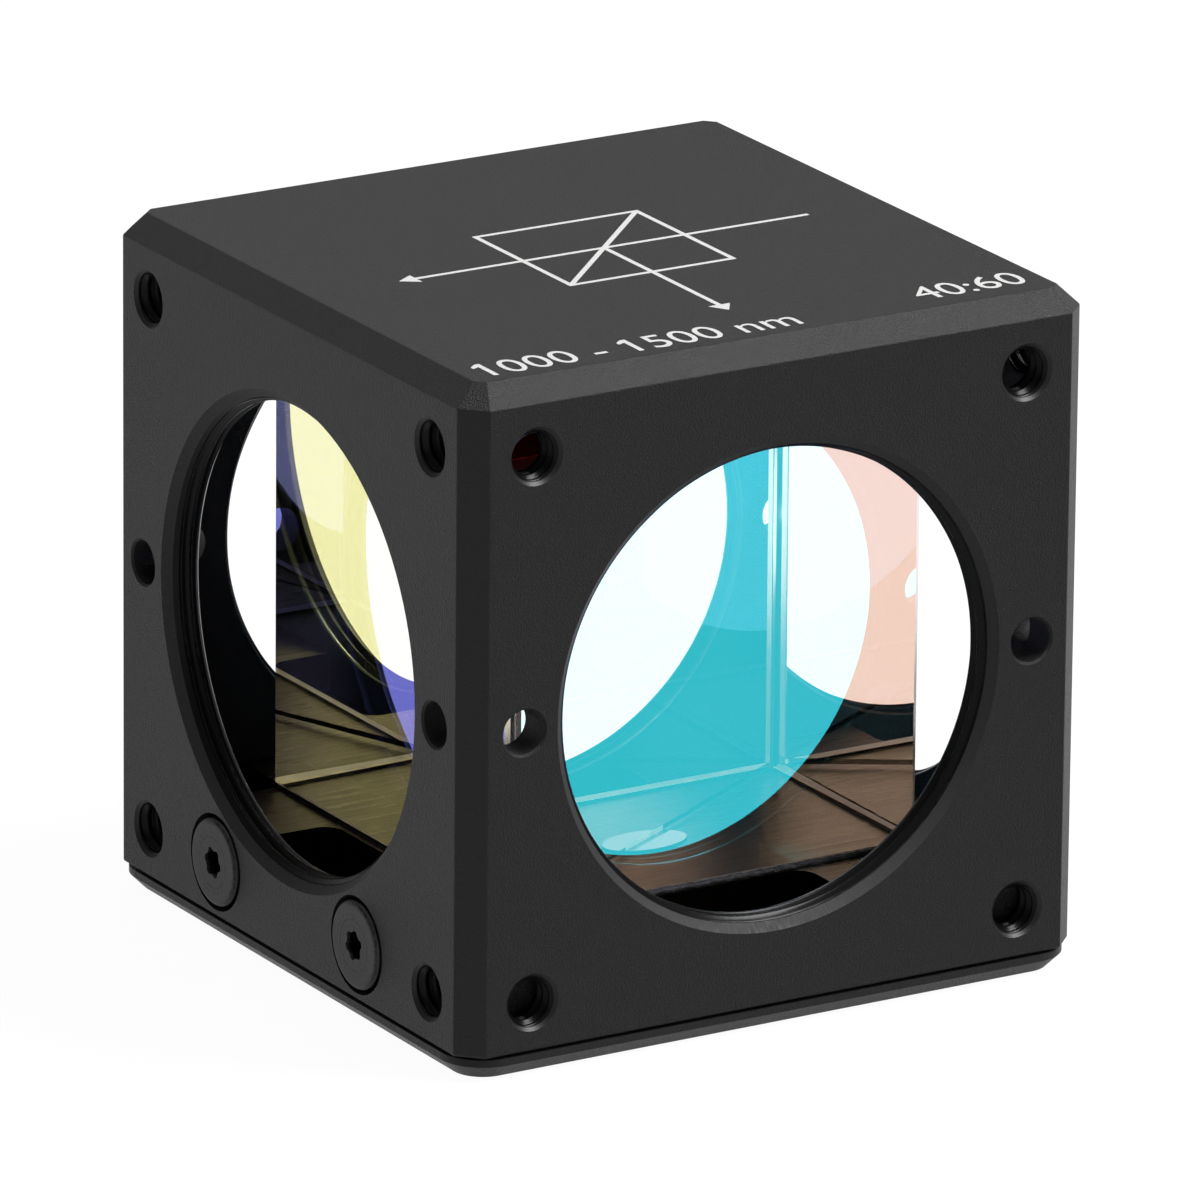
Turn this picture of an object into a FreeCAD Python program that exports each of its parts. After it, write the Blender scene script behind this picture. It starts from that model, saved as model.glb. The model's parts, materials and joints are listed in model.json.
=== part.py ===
"""Beamsplitter cube in a cage cube.

A thin-walled aluminium housing has a threaded port in each side face, and rod and side holes round it.
A stepped base closes it from below and carries a cemented glass cube at the height of the ports.
Millimetres, +Z up, origin in the middle of the underside. The glass cube's coating lies in the plane x = y.
"""
import FreeCAD, Part
import math
import os

V = FreeCAD.Vector

# ---- housing ----
CAGE_SPACING = 30.0          # square pitch of the rod holes in each side face
ROD_HOLE_EDGE = 4.05         # from a rod hole's axis to the outside of the housing
SIDE_WALL = 2.0
TOP_WALL = 2.0
UPRIGHT_CHAMFER = 1.25
TOP_CHAMFER = 1.2
EDGE_ROUND = 0.15            # the fine rounding that blasting leaves on every outer edge
CAVITY_CORNER_R = 0.5

# ---- holes in each side face ----
PORT_THREAD_D = 26.29        # 1.035 inch thread, across its roots
PORT_SINK = 0.455            # 45 degree chamfer at the port's mouth
ROD_THREAD_D = 2.845         # no. 4-40 thread, across its roots
ROD_SINK = 0.178
SIDE_HOLE_D = 2.45           # plain hole at each side of the port
SIDE_HOLE_SINK = 0.125
SIDE_HOLE_LAND = 0.65        # left between the port's mouth and the side hole's mouth

# ---- base ----
FLANGE_HEIGHT = 1.2
FLANGE_CHAMFER = 0.8
FLANGE_CORNER_R = 2.5
JOINT_GAP = 0.15             # the shadow gap between the flange and the housing
JOINT_GAP_DEPTH = 1.1
INSERT_CLEARANCE = 0.05      # between the raised platform and the housing's walls, on each side
ROD_SCREW_CLEARANCE = 2.8    # from a rod's axis to the platform's cut-away corners
PORT_NOTCH_W = 10.8          # the notch in the platform below each port
PORT_NOTCH_DEPTH = 2.2
PORT_NOTCH_CORNER_R = 1.2
PORT_NOTCH_REACH = 3.95      # how far the notch runs in from the platform's side
POST_THREAD_D = 4.166        # no. 8-32 thread through the base, across its roots
POST_SINK = 0.367            # 45 degree chamfer at each of its mouths

# ---- base screws, two through each of two opposite walls ----
SCREW_OFFSET = 7.6           # from the middle of the wall
SCREW_BELOW_PLATFORM = 1.8   # from the platform's top down to the screw's axis
SCREW_HEAD_D = 4.9
SCREW_HEAD_H = 1.3
SCREW_PROUD = 0.18           # how far the head stands out of its counterbore
SCREW_SHANK_D = 2.8
SCREW_ENGAGEMENT = 5.0       # length of the shank inside the base
SCREW_POINT = 0.3            # chamfer at the shank's end
HEAD_ROUND = 0.3             # the head's rounded rim
HEAD_CLEARANCE = 0.25        # radial, between the head and its counterbore
WALL_HOLE_CLEARANCE = 0.13   # radial, between the shank and the wall
THREAD_CLEARANCE = 0.02      # radial, between the shank and the base's tapped hole
HOLE_RUNOUT = 0.8            # what the base's tapped hole has left beyond the screw
SOCKET_D = 1.72              # six-lobe socket, across its lobes
SOCKET_WAIST_D = 1.42        # across its flutes
SOCKET_FLUTE_R = 0.5
SOCKET_DEPTH = 0.9
SOCKET_TURNS = (22.0, 49.0, 17.0, 42.0)   # how each driven screw came to stand, in degrees

# ---- glass ----
GLASS_SIDE = 25.4
CORNER_BEVEL = 0.4           # upright bevel at each prism's right angle
ACUTE_BEVEL = 0.65           # length taken off each face at a prism's sharp edges
RIM_BEVEL = 0.18             # bevel round the glass cube's top and bottom
CEMENT = 0.03                # coating and cement between the prisms
CEMENT_FILLET = 0.2          # how far the cement creeps up each sharp edge's bevel
ADHESIVE = 0.15              # between the glass and the platform
ADHESIVE_INSET = 0.35
ADHESIVE_HOLE_CLEARANCE = 0.05   # radial, round the mouth of the post hole

# ---- marking on the top ----
MARK_CENTRE = (0.24, -0.18)
MARK_DEPTH = 0.05
MARK_LINE = 0.3
MARK_SQUARE = 10.0
BEAM_REACH = 12.6            # from the centre to each end of the straight beam
REFLECTED_REACH = 12.85
ARROW_LENGTH = 1.05
ARROW_WIDTH = 1.35

# ---- places that follow from the sizes above ----
BODY_SIDE = CAGE_SPACING + 2 * ROD_HOLE_EDGE
HALF = BODY_SIDE / 2
AXIS_Z = HALF
TOP_Z = BODY_SIDE
SEAT_Z = FLANGE_HEIGHT + JOINT_GAP
CAVITY_HALF = HALF - SIDE_WALL
INSERT_HALF = CAVITY_HALF - INSERT_CLEARANCE
GLASS_HALF = GLASS_SIDE / 2
PLATFORM_Z = AXIS_Z - GLASS_HALF - ADHESIVE
SCREW_Z = PLATFORM_Z - SCREW_BELOW_PLATFORM
COUNTERBORE_DEPTH = SCREW_HEAD_H - SCREW_PROUD
PORT_MOUTH_R = PORT_THREAD_D / 2 + PORT_SINK
SIDE_HOLE_OFFSET = PORT_MOUTH_R + SIDE_HOLE_LAND + SIDE_HOLE_D / 2 + SIDE_HOLE_SINK
OVERCUT = 1.0                # how far a cutting tool runs past the face that it opens


# ---- shape helpers ----
def block(half_x, half_y, low_z, high_z):
    """A box centred on the Z axis."""
    return Part.makeBox(2 * half_x, 2 * half_y, high_z - low_z, V(-half_x, -half_y, low_z))


def upright_edges(shape):
    """The edges that run along Z."""
    return [e for e in shape.Edges if abs(e.tangentAt(e.FirstParameter).z) > 0.999]


def level_edges(shape, z):
    """The edges that lie in the plane of height z."""
    box_of = [(e, e.BoundBox) for e in shape.Edges]
    return [e for e, b in box_of if abs(b.ZMin - z) < 1e-6 and abs(b.ZMax - z) < 1e-6]


def prism(points, low_z, high_z):
    """An upright solid on a polygon of plan points."""
    outline = Part.makePolygon([V(x, y, low_z) for x, y in points + points[:1]])
    return Part.Face(outline).extrude(V(0, 0, high_z - low_z))


def turned(profile):
    """A solid turned about Z, from (radius, depth) points; depth runs down from the origin."""
    outline = Part.makePolygon([V(r, 0, -d) for r, d in profile + profile[:1]])
    return Part.Face(outline).revolve(V(0, 0, 0), V(0, 0, 1), 360)


def in_side_face(shape, across, height, quarter):
    """Set a shape made along Z into a side face, its origin on the surface and its top pointing out.

    quarter 0 is the -Y face, 1 the +X face, 2 the +Y face and 3 the -X face.
    """
    placed = shape.copy()
    placed.rotate(V(0, 0, 0), V(1, 0, 0), 90)
    placed.translate(V(across, -HALF, height))
    placed.rotate(V(0, 0, 0), V(0, 0, 1), 90 * quarter)
    return placed


def countersunk(diameter, sink, depth):
    """Cutting tool for a hole with a 45 degree chamfer of the given depth at its mouth."""
    radius = diameter / 2
    mouth = radius + sink
    return turned([
        (0, -OVERCUT), (mouth, -OVERCUT), (mouth, 0), (radius, sink), (radius, depth), (0, depth),
    ])


# ---- base screws ----
def screw_places():
    """(across, quarter) of each base screw: two in the -X wall, then two in the +X wall."""
    return [(across, quarter) for quarter in (3, 1) for across in (-SCREW_OFFSET, SCREW_OFFSET)]


def six_lobe_socket():
    """Cutting tool for the driver socket, with its mouth at the origin."""
    tool = Part.makeCylinder(SOCKET_D / 2, SOCKET_DEPTH + OVERCUT, V(0, 0, -SOCKET_DEPTH))
    flute_at = SOCKET_WAIST_D / 2 + SOCKET_FLUTE_R
    for i in range(6):
        angle = math.radians(60 * i)
        centre = V(flute_at * math.cos(angle), flute_at * math.sin(angle), -SOCKET_DEPTH - OVERCUT)
        tool = tool.cut(Part.makeCylinder(SOCKET_FLUTE_R, SOCKET_DEPTH + 3 * OVERCUT, centre))
    return tool


def screw_shape(socket_turn):
    """A low-head screw, its head's face at the origin and its shank pointing down."""
    head_r = SCREW_HEAD_D / 2
    shank_r = SCREW_SHANK_D / 2
    end = SCREW_HEAD_H + (SIDE_WALL - COUNTERBORE_DEPTH) + INSERT_CLEARANCE + SCREW_ENGAGEMENT
    screw = turned([
        (0, 0), (head_r, 0), (head_r, SCREW_HEAD_H),
        (shank_r, SCREW_HEAD_H), (shank_r, end - SCREW_POINT), (shank_r - SCREW_POINT, end), (0, end),
    ])
    screw = screw.makeFillet(HEAD_ROUND, level_edges(screw, 0))
    socket = six_lobe_socket()
    socket.rotate(V(0, 0, 0), V(0, 0, 1), socket_turn)
    return screw.cut(socket)


def base_screws():
    """The four screws in their places."""
    screws = []
    for (across, quarter), turn in zip(screw_places(), SOCKET_TURNS):
        screw = screw_shape(turn)
        screw.translate(V(0, 0, SCREW_PROUD))
        screws.append(in_side_face(screw, across, SCREW_Z, quarter))
    return screws


def screw_wall_tool():
    """Counterbore and clearance hole through the housing's wall."""
    bore_r = SCREW_HEAD_D / 2 + HEAD_CLEARANCE
    hole_r = SCREW_SHANK_D / 2 + WALL_HOLE_CLEARANCE
    return turned([
        (0, -OVERCUT), (bore_r, -OVERCUT), (bore_r, COUNTERBORE_DEPTH),
        (hole_r, COUNTERBORE_DEPTH), (hole_r, SIDE_WALL + OVERCUT), (0, SIDE_WALL + OVERCUT),
    ])


def screw_base_tool():
    """Tapped hole in the side of the platform, with a drill point."""
    hole_r = SCREW_SHANK_D / 2 + THREAD_CLEARANCE
    end = SIDE_WALL + INSERT_CLEARANCE + SCREW_ENGAGEMENT + HOLE_RUNOUT
    return turned([(0, 0), (hole_r, 0), (hole_r, end), (0, end + hole_r / 2)])


# ---- marking on the top ----
def stroke(start, end):
    """A drawn line with square ends, half a line's width past its end points."""
    length = math.hypot(end[0] - start[0], end[1] - start[1]) + MARK_LINE
    line = Part.makeBox(length, MARK_LINE, MARK_DEPTH, V(-MARK_LINE / 2, -MARK_LINE / 2, 0))
    line.rotate(V(0, 0, 0), V(0, 0, 1), math.degrees(math.atan2(end[1] - start[1], end[0] - start[0])))
    line.translate(V(start[0], start[1], TOP_Z - MARK_DEPTH))
    return line


def arrow(start, direction, reach):
    """A line from start that ends in an arrowhead whose tip is at reach from the diagram's centre."""
    dx, dy = direction
    cx, cy = MARK_CENTRE
    tip = (cx + dx * reach, cy + dy * reach)
    foot = (tip[0] - dx * ARROW_LENGTH, tip[1] - dy * ARROW_LENGTH)
    side = ARROW_WIDTH / 2
    wings = [(foot[0] - dy * side * s, foot[1] + dx * side * s) for s in (1, -1)]
    return [stroke(start, foot), prism([tip] + wings, TOP_Z - MARK_DEPTH, TOP_Z)]


def beam_diagram():
    """Square with its diagonal, the straight beam towards -X and the reflected beam towards -Y."""
    cx, cy = MARK_CENTRE
    h = MARK_SQUARE / 2
    corners = [(cx - h, cy - h), (cx + h, cy - h), (cx + h, cy + h), (cx - h, cy + h)]
    parts = [stroke(corners[i], corners[(i + 1) % 4]) for i in range(4)]
    inner = MARK_LINE / 2
    parts.append(stroke((cx - h + inner, cy - h + inner), (cx + h - inner, cy + h - inner)))
    parts += arrow((cx + BEAM_REACH, cy), (-1, 0), BEAM_REACH)
    parts += arrow((cx, cy), (0, -1), REFLECTED_REACH)
    return parts[0].multiFuse(parts[1:]).removeSplitter().Solids[0]


# ---- housing ----
def cube_body(marks):
    """Open-bottomed box with chamfered edges, four ports and the holes of each side face."""
    body = block(HALF, HALF, SEAT_Z, TOP_Z)
    body = body.makeChamfer(UPRIGHT_CHAMFER, upright_edges(body))
    body = body.makeChamfer(TOP_CHAMFER, level_edges(body, TOP_Z))
    body = body.makeFillet(EDGE_ROUND, body.Edges)
    cavity = block(CAVITY_HALF, CAVITY_HALF, SEAT_Z - OVERCUT, TOP_Z - TOP_WALL)
    cavity = cavity.makeFillet(CAVITY_CORNER_R, upright_edges(cavity))

    through = SIDE_WALL + OVERCUT
    port = countersunk(PORT_THREAD_D, PORT_SINK, through)
    rod_hole = countersunk(ROD_THREAD_D, ROD_SINK, through)
    side_hole = countersunk(SIDE_HOLE_D, SIDE_HOLE_SINK, through)
    rod = CAGE_SPACING / 2
    tools = [cavity]
    for quarter in range(4):
        tools.append(in_side_face(port, 0, AXIS_Z, quarter))
        for side in (-1, 1):
            tools.append(in_side_face(side_hole, side * SIDE_HOLE_OFFSET, AXIS_Z, quarter))
            for rise in (-1, 1):
                tools.append(in_side_face(rod_hole, side * rod, AXIS_Z + rise * rod, quarter))
    for across, quarter in screw_places():
        tools.append(in_side_face(screw_wall_tool(), across, SCREW_Z, quarter))
    return body.cut(tools + [marks])


# ---- base ----
def port_notch():
    """Cutting tool for the notch in the platform below the -Y port."""
    inner_y = -(INSERT_HALF - PORT_NOTCH_REACH)
    tool = Part.makeBox(
        PORT_NOTCH_W, PORT_NOTCH_REACH + OVERCUT, PORT_NOTCH_DEPTH + OVERCUT,
        V(-PORT_NOTCH_W / 2, inner_y - PORT_NOTCH_REACH - OVERCUT, PLATFORM_Z - PORT_NOTCH_DEPTH),
    )
    inner_edges = [e for e in upright_edges(tool) if abs(e.BoundBox.YMax - inner_y) < 1e-6]
    return tool.makeFillet(PORT_NOTCH_CORNER_R, inner_edges)


def base_plate():
    """Chamfered flange, the pad that seats the housing, and the platform that carries the glass."""
    flange = block(HALF, HALF, 0, FLANGE_HEIGHT)
    flange = flange.makeFillet(FLANGE_CORNER_R, upright_edges(flange))
    flange = flange.makeChamfer(FLANGE_CHAMFER, level_edges(flange, 0))
    pad_half = HALF - JOINT_GAP_DEPTH
    pad = block(pad_half, pad_half, FLANGE_HEIGHT, SEAT_Z)
    platform = block(INSERT_HALF, INSERT_HALF, SEAT_Z, PLATFORM_Z)
    base = flange.fuse([pad, platform]).removeSplitter()

    corner_at = CAGE_SPACING / 2 - ROD_SCREW_CLEARANCE
    notch = port_notch()
    post_hole = countersunk(POST_THREAD_D, POST_SINK, PLATFORM_Z)
    upper_mouth = post_hole.copy()
    post_hole.rotate(V(0, 0, 0), V(1, 0, 0), 180)
    upper_mouth.translate(V(0, 0, PLATFORM_Z))
    tools = [post_hole, upper_mouth]
    for quarter in range(4):
        turned_notch = notch.copy()
        turned_notch.rotate(V(0, 0, 0), V(0, 0, 1), 90 * quarter)
        corner = Part.makeBox(HALF, HALF, PLATFORM_Z, V(corner_at, corner_at, SEAT_Z))
        corner.rotate(V(0, 0, 0), V(0, 0, 1), 90 * quarter)
        tools += [turned_notch, corner]
    for across, quarter in screw_places():
        tools.append(in_side_face(screw_base_tool(), across, SCREW_Z, quarter))
    return base.cut(tools)


# ---- glass ----
def glass_block():
    """The cube that the cemented prisms make up, bevelled round its top and bottom."""
    low = AXIS_Z - GLASS_HALF
    high = AXIS_Z + GLASS_HALF
    cube = block(GLASS_HALF, GLASS_HALF, low, high)
    return cube.makeChamfer(RIM_BEVEL, level_edges(cube, low) + level_edges(cube, high))


def on_diagonal(along, off):
    """Plan point at a distance along the plane x = y, and off it towards +X -Y."""
    root = math.sqrt(0.5)
    return ((along + off) * root, (along - off) * root)


def acute_bevel():
    """Ends in plan of the front prism's bevel at +X +Y: first on its long face, then on its short face."""
    inner = on_diagonal(math.sqrt(2) * GLASS_HALF - ACUTE_BEVEL, CEMENT / 2)
    return inner, (GLASS_HALF, GLASS_HALF - ACUTE_BEVEL)


def across_glass(point):
    """The same plan point at the other end of the diagonal, on the same prism."""
    return (-point[1], -point[0])


def prism_front(cube):
    """Right-angle prism on the +X -Y side of the coating."""
    inner, outer = acute_bevel()
    plan = [
        across_glass(inner), across_glass(outer),
        (GLASS_HALF - CORNER_BEVEL, -GLASS_HALF), (GLASS_HALF, -GLASS_HALF + CORNER_BEVEL),
        outer, inner,
    ]
    return cube.common(prism(plan, 0, TOP_Z))


def prism_back(front):
    """The same prism on the other side: the front one mirrored in the coating's plane."""
    return front.mirror(V(0, 0, 0), V(1, -1, 0))


def splitter_layer(cube):
    """Coating and cement: a thin sheet that swells into the groove between the sharp edges' bevels."""
    inner, outer = acute_bevel()
    share = CEMENT_FILLET / math.dist(inner, outer)
    swell = (inner[0] + (outer[0] - inner[0]) * share, inner[1] + (outer[1] - inner[1]) * share)
    front_side = [across_glass(swell), across_glass(inner), inner, swell]
    back_side = [(y, x) for x, y in reversed(front_side)]
    return cube.common(prism(front_side + back_side, 0, TOP_Z))


def adhesive_layer():
    """Thin square of adhesive under the glass, open over the post hole."""
    half = GLASS_HALF - ADHESIVE_INSET
    hole_r = POST_THREAD_D / 2 + POST_SINK + ADHESIVE_HOLE_CLEARANCE
    opening = Part.makeCylinder(hole_r, ADHESIVE + 2 * OVERCUT, V(0, 0, PLATFORM_Z - OVERCUT))
    return block(half, half, PLATFORM_Z, PLATFORM_Z + ADHESIVE).cut(opening)


def build():
    """Every sub-part by its node's name."""
    marks = beam_diagram()
    cube = glass_block()
    front = prism_front(cube)
    nodes = {
        "cube_body": cube_body(marks),
        "base_plate": base_plate(),
        "prism_front": front,
        "prism_back": prism_back(front),
        "splitter_layer": splitter_layer(cube),
        "adhesive_layer": adhesive_layer(),
        "beam_diagram": marks,
    }
    for i, screw in enumerate(base_screws(), 1):
        nodes[f"base_screw_{i}"] = screw
    return nodes


os.makedirs("parts", exist_ok=True)
for name, shape in build().items():
    shape.exportStep(f"parts/{name}.step")
    print(name, "valid", shape.isValid(), "solids", len(shape.Solids), "volume", round(shape.Volume, 3))
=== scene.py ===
"""Looks of the beamsplitter cube: anodised housing, coated glass, threads, marking, light and camera."""
import json
import math

import bmesh
import bpy
from mathutils import Matrix, Vector


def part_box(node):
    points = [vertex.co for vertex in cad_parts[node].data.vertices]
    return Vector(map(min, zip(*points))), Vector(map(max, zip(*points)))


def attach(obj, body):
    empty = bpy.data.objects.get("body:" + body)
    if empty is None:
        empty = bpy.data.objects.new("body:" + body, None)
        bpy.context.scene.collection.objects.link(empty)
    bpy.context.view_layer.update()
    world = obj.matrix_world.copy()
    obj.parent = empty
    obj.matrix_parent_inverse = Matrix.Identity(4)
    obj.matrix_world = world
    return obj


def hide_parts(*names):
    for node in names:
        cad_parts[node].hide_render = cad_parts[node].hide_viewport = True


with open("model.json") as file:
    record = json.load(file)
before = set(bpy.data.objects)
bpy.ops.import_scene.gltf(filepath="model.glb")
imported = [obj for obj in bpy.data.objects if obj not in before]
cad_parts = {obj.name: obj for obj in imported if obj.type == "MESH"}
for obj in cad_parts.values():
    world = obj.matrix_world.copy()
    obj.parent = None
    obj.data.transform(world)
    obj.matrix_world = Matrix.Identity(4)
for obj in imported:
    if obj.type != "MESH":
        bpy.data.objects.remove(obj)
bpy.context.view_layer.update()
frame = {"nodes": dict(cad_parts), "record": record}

MM = 0.001
nodes = frame["nodes"]
record = frame["record"]
mounts = {m["name"]: m for m in record["mounts"]}
scene = bpy.context.scene

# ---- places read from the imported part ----
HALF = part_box("cube_body")[1][0]                 # side faces, from the upright axis
TOP_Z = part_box("cube_body")[1][2]
AXIS_Z = mounts["port_front"]["pos_m"][2]
GLASS_LOW, GLASS_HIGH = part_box("prism_front")[0][2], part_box("prism_front")[1][2]
GLASS_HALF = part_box("prism_front")[1][0]
PLATFORM_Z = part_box("base_plate")[1][2]
SEAT_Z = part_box("cube_body")[0][2]
PORT_R = mounts["port_front"]["dims"]["r_mm"] * MM
PORT_THREAD_LENGTH = mounts["port_front"]["dims"]["length_mm"] * MM
ROD_R = mounts["cage_holes_front"]["dims"]["hole_r_mm"] * MM
ROD_OFFSET = mounts["cage_holes_front"]["dims"]["spacing_x_mm"] * MM / 2
POST_R = mounts["post_hole"]["dims"]["r_mm"] * MM
POST_SINK = (PLATFORM_Z - mounts["post_hole"]["dims"]["length_mm"] * MM) / 2
SIDE_WALL = 2.0 * MM
PORT_MOUTH_R = PORT_R + SIDE_WALL - PORT_THREAD_LENGTH
CAVITY_HALF = HALF - SIDE_WALL
SCREW_LOW, SCREW_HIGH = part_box("base_screw_1")
SCREW_Y = abs(SCREW_LOW[1] + SCREW_HIGH[1]) / 2
SCREW_Z = (SCREW_LOW[2] + SCREW_HIGH[2]) / 2

HAIR = 0.01 * MM                                 # tolerance when telling one face from another
SKIN = 0.003 * MM                                # a wall's face sunk deeper than this belongs to a hole
EDGE_WIDTH = 1.6 * MM                            # the chamfered outer edges lie within this of a corner
EDGE_SLOPE = 0.3                                 # least second-largest part of a chamfered edge's normal
ROD_MOUTH_WIDTH = 0.4 * MM                       # a rod hole's chamfer lies within this of its bore
ROD_SINK = 0.178 * MM                            # chamfer at a rod hole's mouth
BED_HOLE_R = POST_R + POST_SINK + 0.05 * MM      # opening in the adhesive over the post hole


# ---- node-tree shorthand ----
class Tree:
    """Builds one material's nodes; a value is a number, a colour or another node's output."""

    def __init__(self, name):
        self.material = bpy.data.materials.new(name)
        self.material.use_nodes = True
        self.tree = self.material.node_tree
        self.tree.nodes.clear()
        self.output = self.add("ShaderNodeOutputMaterial")

    def add(self, kind, **settings):
        node = self.tree.nodes.new(kind)
        for key, value in settings.items():
            setattr(node, key, value)
        return node

    def put(self, socket, value):
        if isinstance(value, bpy.types.NodeSocket):
            self.tree.links.new(value, socket)
        elif socket.type == "RGBA" and len(value) == 3:
            socket.default_value = (*value, 1.0)
        else:
            socket.default_value = value

    def shader(self, kind, **inputs):
        """A shader node with its inputs by name, with _ for a space."""
        node = self.add(kind)
        for name, value in inputs.items():
            self.put(node.inputs[name.replace("_", " ")], value)
        return node.outputs[0]

    def math(self, operation, a, b=0.0, c=0.0):
        node = self.add("ShaderNodeMath", operation=operation)
        for socket, value in zip(node.inputs, (a, b, c)):
            self.put(socket, value)
        return node.outputs[0]

    def point(self):
        """The surface point in the part's own frame, as a vector."""
        return self.add("ShaderNodeTexCoord").outputs["Object"]

    def place(self):
        """The surface point in the part's own frame, as x, y, z and the vector."""
        vector = self.point()
        split = self.add("ShaderNodeSeparateXYZ")
        self.put(split.inputs[0], vector)
        return (*split.outputs, vector)

    def noise(self, vector, size, detail=2.0, roughness=0.5):
        """Noise from 0 to 1 whose grains are about size metres across."""
        node = self.add("ShaderNodeTexNoise")
        self.put(node.inputs["Vector"], vector)
        self.put(node.inputs["Scale"], 1.0 / size)
        self.put(node.inputs["Detail"], detail)
        self.put(node.inputs["Roughness"], roughness)
        return node.outputs[0]

    def scaled(self, vector, x, y, z):
        node = self.add("ShaderNodeMapping")
        self.put(node.inputs["Vector"], vector)
        node.inputs["Scale"].default_value = (x, y, z)
        return node.outputs[0]

    def vector(self, x, y, z):
        node = self.add("ShaderNodeCombineXYZ")
        for socket, value in zip(node.inputs, (x, y, z)):
            self.put(socket, value)
        return node.outputs[0]

    def ranged(self, value, low, high, to_low, to_high):
        node = self.add("ShaderNodeMapRange")
        for socket, number in zip(node.inputs, (value, low, high, to_low, to_high)):
            self.put(socket, number)
        return node.outputs[0]

    def ramp(self, value, stops):
        """Colour ramp from (position, colour) stops."""
        node = self.add("ShaderNodeValToRGB")
        self.put(node.inputs[0], value)
        elements = node.color_ramp.elements
        while len(elements) < len(stops):
            elements.new(0.5)
        for element, (position, colour) in zip(elements, stops):
            element.position = position
            element.color = (*colour, 1.0)
        return node.outputs[0]

    def mix_colour(self, share, a, b):
        node = self.add("ShaderNodeMix", data_type="RGBA")
        self.put(node.inputs[0], share)
        self.put(node.inputs[6], a)
        self.put(node.inputs[7], b)
        return node.outputs[2]

    def mix_value(self, share, a, b):
        node = self.add("ShaderNodeMix", data_type="FLOAT")
        self.put(node.inputs[0], share)
        self.put(node.inputs[2], a)
        self.put(node.inputs[3], b)
        return node.outputs[0]

    def mix_shader(self, share, a, b):
        node = self.add("ShaderNodeMixShader")
        self.put(node.inputs[0], share)
        self.put(node.inputs[1], a)
        self.put(node.inputs[2], b)
        return node.outputs[0]

    def add_shader(self, a, b):
        node = self.add("ShaderNodeAddShader")
        self.put(node.inputs[0], a)
        self.put(node.inputs[1], b)
        return node.outputs[0]

    def bump(self, height, distance):
        node = self.add("ShaderNodeBump")
        self.put(node.inputs["Height"], height)
        node.inputs["Distance"].default_value = distance
        return node.outputs[0]

    def done(self, surface):
        self.put(self.output.inputs["Surface"], surface)
        return self.material


def length_of(tree, a, b):
    """Length of the plan vector (a, b)."""
    return tree.math("SQRT", tree.math("ADD", tree.math("MULTIPLY", a, a), tree.math("MULTIPLY", b, b)))


# ---- materials ----
BLACK = (0.0, 0.0, 0.0)
WHITE = (1.0, 1.0, 1.0)


def anodised(name, grey, specular, grain):
    """Bead-blasted black anodised aluminium, rougher inside the cavity and darkened there as painted shade;
    grain is the blasting's depth.
    """
    t = Tree(name)
    x, y, z, place = t.place()
    blast = t.noise(place, 0.09 * MM, detail=3.0, roughness=0.6)
    cloud = t.noise(place, 3.0 * MM, detail=3.0)
    tone = t.math("MULTIPLY", t.ranged(blast, 0.3, 0.7, 0.8, 1.25), t.ranged(cloud, 0.3, 0.7, 0.94, 1.06))
    outward = t.math("MAXIMUM", t.math("ABSOLUTE", x), t.math("ABSOLUTE", y))
    shell = t.math("MAXIMUM", t.math("GREATER_THAN", outward, CAVITY_HALF + HAIR),
                   t.math("GREATER_THAN", z, TOP_Z - SIDE_WALL + HAIR))
    # painted shade: the faces inside the cavity get a fifth of the shell's colour
    tone = t.math("MULTIPLY", tone, t.ranged(shell, 0.0, 1.0, 0.2, 1.0))
    colour = t.mix_colour(tone, BLACK, (grey, grey, grey * 1.03))
    rough = t.mix_value(shell, 0.62, t.ranged(blast, 0.3, 0.7, 0.38, 0.46))
    surface = t.shader("ShaderNodeBsdfPrincipled", Base_Color=colour, Roughness=rough, IOR=1.5,
                       Specular_IOR_Level=specular, Sheen_Weight=0.04, Sheen_Roughness=0.3,
                       Normal=t.bump(blast, grain))
    return t.done(surface)


def machined(name):
    """Turned chamfers of the ports: bare of blasting, with the tool's chatter across them."""
    t = Tree(name)
    x, y, z, _ = t.place()
    on_side = t.math("GREATER_THAN", t.math("ABSOLUTE", x), t.math("ABSOLUTE", y))
    across = t.mix_value(on_side, x, y)
    rise = t.math("SUBTRACT", z, AXIS_Z)
    angle = t.math("ARCTAN2", across, rise)
    drawn_out = 0.12                             # each tick is about eight times as long as it is wide
    outward = t.math("MULTIPLY", length_of(t, across, rise), drawn_out)
    around = t.vector(t.math("MULTIPLY", angle, PORT_R), outward, 0.0)
    ticks = t.noise(around, 0.10 * MM, detail=3.0, roughness=0.7)
    grey = t.ranged(ticks, 0.3, 0.7, 0.003, 0.006)
    colour = t.mix_colour(grey, BLACK, (1.0, 1.0, 1.02))
    rough = t.ranged(ticks, 0.35, 0.65, 0.62, 0.84)
    surface = t.shader("ShaderNodeBsdfPrincipled", Base_Color=colour, Roughness=rough, IOR=1.5,
                       Specular_IOR_Level=0.36, Sheen_Weight=0.08, Sheen_Roughness=0.3,
                       Normal=t.bump(ticks, 0.012 * MM))
    return t.done(surface)


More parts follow.
